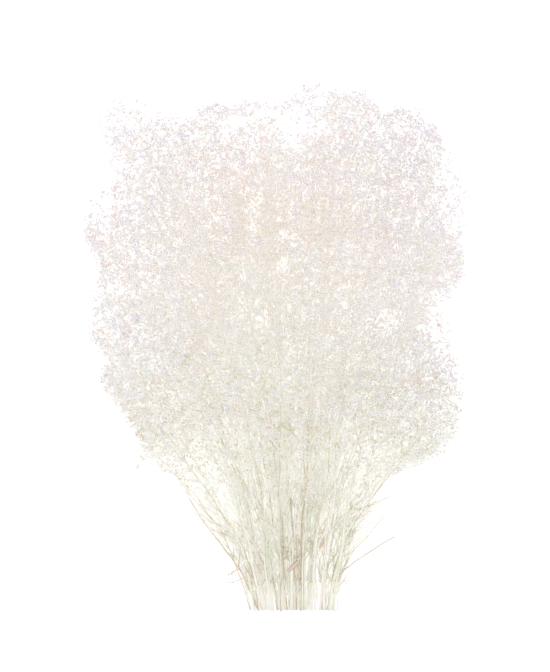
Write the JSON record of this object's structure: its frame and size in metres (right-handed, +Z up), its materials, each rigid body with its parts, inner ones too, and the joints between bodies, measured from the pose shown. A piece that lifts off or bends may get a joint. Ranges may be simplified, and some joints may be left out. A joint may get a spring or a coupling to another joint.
{
  "type": "dried gypsophila bunch",
  "caption": "Loose dried bunch of baby's breath, lying flat: bare stems cut level at one end, fanning out into a wide airy cloud of tiny florets.",
  "frame": {"origin": "middle of the bunch's footprint on the surface that it lies on", "axes": "+Y along the bunch, from the cut ends to the flower heads; +Z up from the surface; +X across the bunch, to the right when it is seen from above with the flower heads away from the viewer"},
  "size_m": [0.4623, 0.655, 0.2289],
  "materials": {
    "olive_gypsophila": "matt dried stalks and papery florets, cream leaning to olive",
    "straw_gypsophila": "matt dried stalks and papery florets, warm straw",
    "blush_gypsophila": "matt dried stalks and papery florets, pale cream leaning to pink"
  },
  "bodies": {
    "root": {"flowering_stem_01": "olive_gypsophila", "flowering_stem_02": "straw_gypsophila", "flowering_stem_03": "blush_gypsophila", "flowering_stem_04": "straw_gypsophila", "flowering_stem_05": "blush_gypsophila", "flowering_stem_06": "straw_gypsophila", "flowering_stem_07": "blush_gypsophila", "flowering_stem_08": "straw_gypsophila", "flowering_stem_09": "olive_gypsophila", "flowering_stem_10": "olive_gypsophila", "flowering_stem_11": "straw_gypsophila", "flowering_stem_12": "straw_gypsophila", "flowering_stem_13": "blush_gypsophila", "flowering_stem_14": "straw_gypsophila", "flowering_stem_15": "blush_gypsophila", "flowering_stem_16": "straw_gypsophila", "flowering_stem_17": "blush_gypsophila", "flowering_stem_18": "straw_gypsophila", "flowering_stem_19": "straw_gypsophila", "flowering_stem_20": "blush_gypsophila", "flowering_stem_21": "straw_gypsophila", "flowering_stem_22": "blush_gypsophila", "flowering_stem_23": "blush_gypsophila", "flowering_stem_24": "blush_gypsophila", "flowering_stem_25": "blush_gypsophila", "flowering_stem_26": "straw_gypsophila", "flowering_stem_27": "olive_gypsophila", "flowering_stem_28": "olive_gypsophila", "flowering_stem_29": "blush_gypsophila", "flowering_stem_30": "olive_gypsophila", "flowering_stem_31": "straw_gypsophila", "flowering_stem_32": "blush_gypsophila", "flowering_stem_33": "straw_gypsophila", "flowering_stem_34": "olive_gypsophila", "flowering_stem_35": "straw_gypsophila"}
  },
  "joints": []
}
